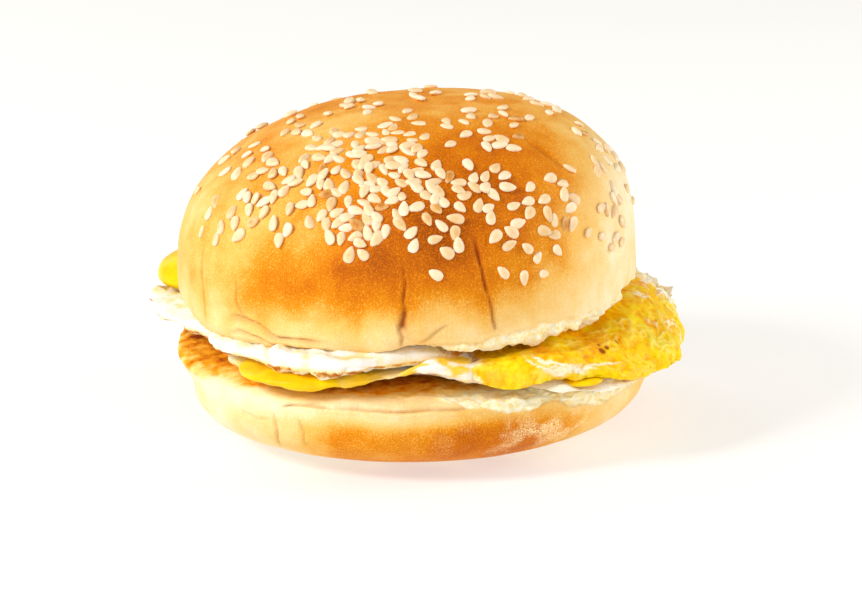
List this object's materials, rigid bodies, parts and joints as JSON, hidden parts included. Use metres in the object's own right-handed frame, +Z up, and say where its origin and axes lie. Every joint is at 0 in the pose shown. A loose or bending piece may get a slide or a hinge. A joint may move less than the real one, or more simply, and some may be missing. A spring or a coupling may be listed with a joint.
{
  "type": "breakfast sandwich",
  "caption": "Breakfast sandwich: a round sesame bun, cut across, with two fried eggs stacked inside and showing at its edges.",
  "frame": {"origin": "centre of the flat spot under the heel, on the table", "axes": "+Z up, -Y towards the front that the picture shows, +X to that picture's right, along the longest extent"},
  "size_m": [0.115, 0.1001, 0.0702],
  "materials": {
    "bottom_bun": "soft baked crust with a toasted cut face",
    "lower_egg_white": "cooked egg white, moist",
    "lower_egg_yolk_lobe": "set yolk, smooth and moist",
    "lower_egg_yolk_bead": "set yolk, smooth and moist",
    "lower_egg_broken_yolk": "broken yolk fried through, bumpy with browned spots",
    "upper_egg_white": "cooked egg white, moist, browned at its frilly edge",
    "upper_egg_yolk": "set yolk, smooth and moist",
    "top_bun": "golden baked crust with sesame seeds on it"
  },
  "bodies": {
    "root": {"bottom_bun": "bottom_bun", "lower_egg_white": "lower_egg_white", "lower_egg_yolk_lobe": "lower_egg_yolk_lobe", "lower_egg_yolk_bead": "lower_egg_yolk_bead", "lower_egg_broken_yolk": "lower_egg_broken_yolk", "upper_egg_white": "upper_egg_white", "upper_egg_yolk": "upper_egg_yolk", "top_bun": "top_bun"}
  },
  "joints": []
}
